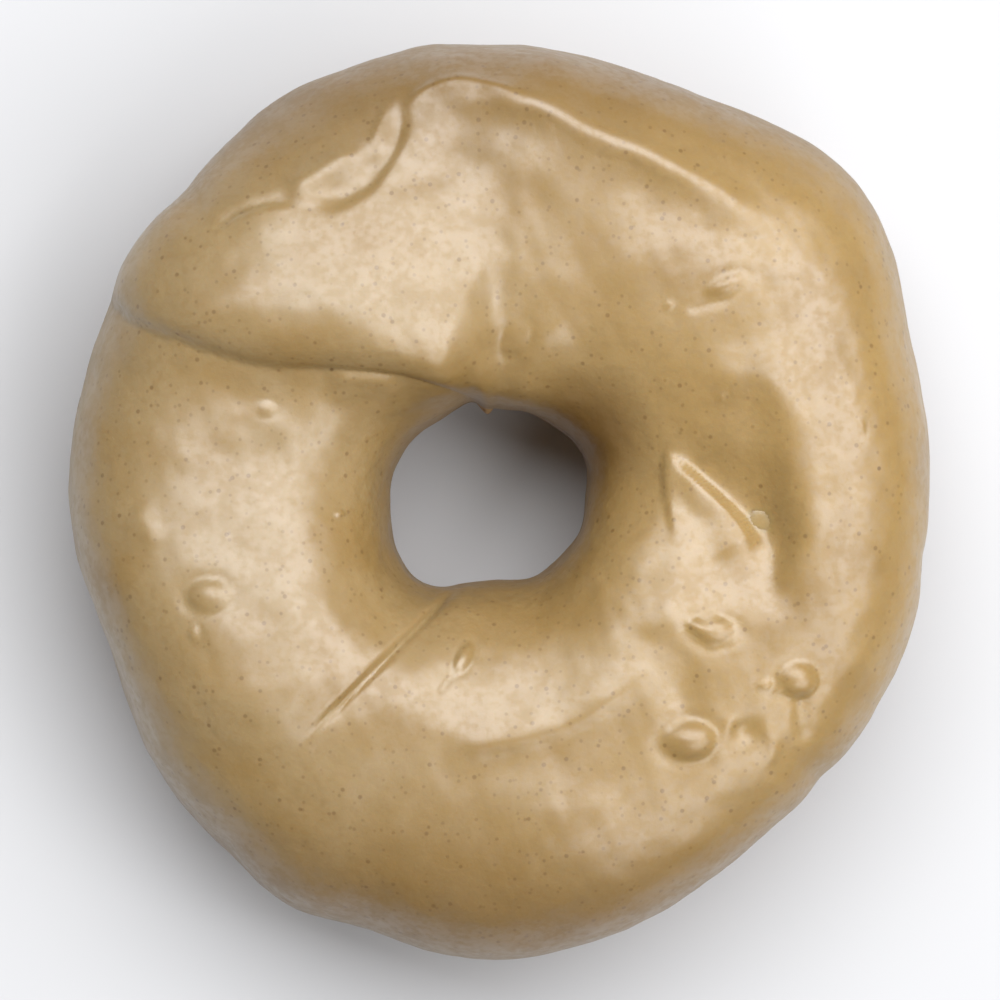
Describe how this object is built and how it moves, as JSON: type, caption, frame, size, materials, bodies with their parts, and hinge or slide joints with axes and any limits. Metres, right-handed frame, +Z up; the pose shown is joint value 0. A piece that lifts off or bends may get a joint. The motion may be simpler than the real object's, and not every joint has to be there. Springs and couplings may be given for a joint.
{
  "type": "iced ring doughnut",
  "caption": "Raised ring doughnut under a smooth caramel-coloured icing that runs down its sides and into its hole.",
  "frame": {"origin": "middle of the footprint, on the surface that the doughnut rests on", "axes": "+Z up through the ring, +Y along its longest width on plan, +X to the right of the pictured view"},
  "size_m": [0.0854, 0.0911, 0.0352],
  "materials": {
    "fried_dough": "matt browned crust of fried raised dough, with a paler band round the waist",
    "caramel_icing": "satin-gloss set sugar icing, pale caramel with fine dark specks"
  },
  "bodies": {
    "root": {"dough": "fried_dough", "icing": "caramel_icing"}
  },
  "joints": []
}
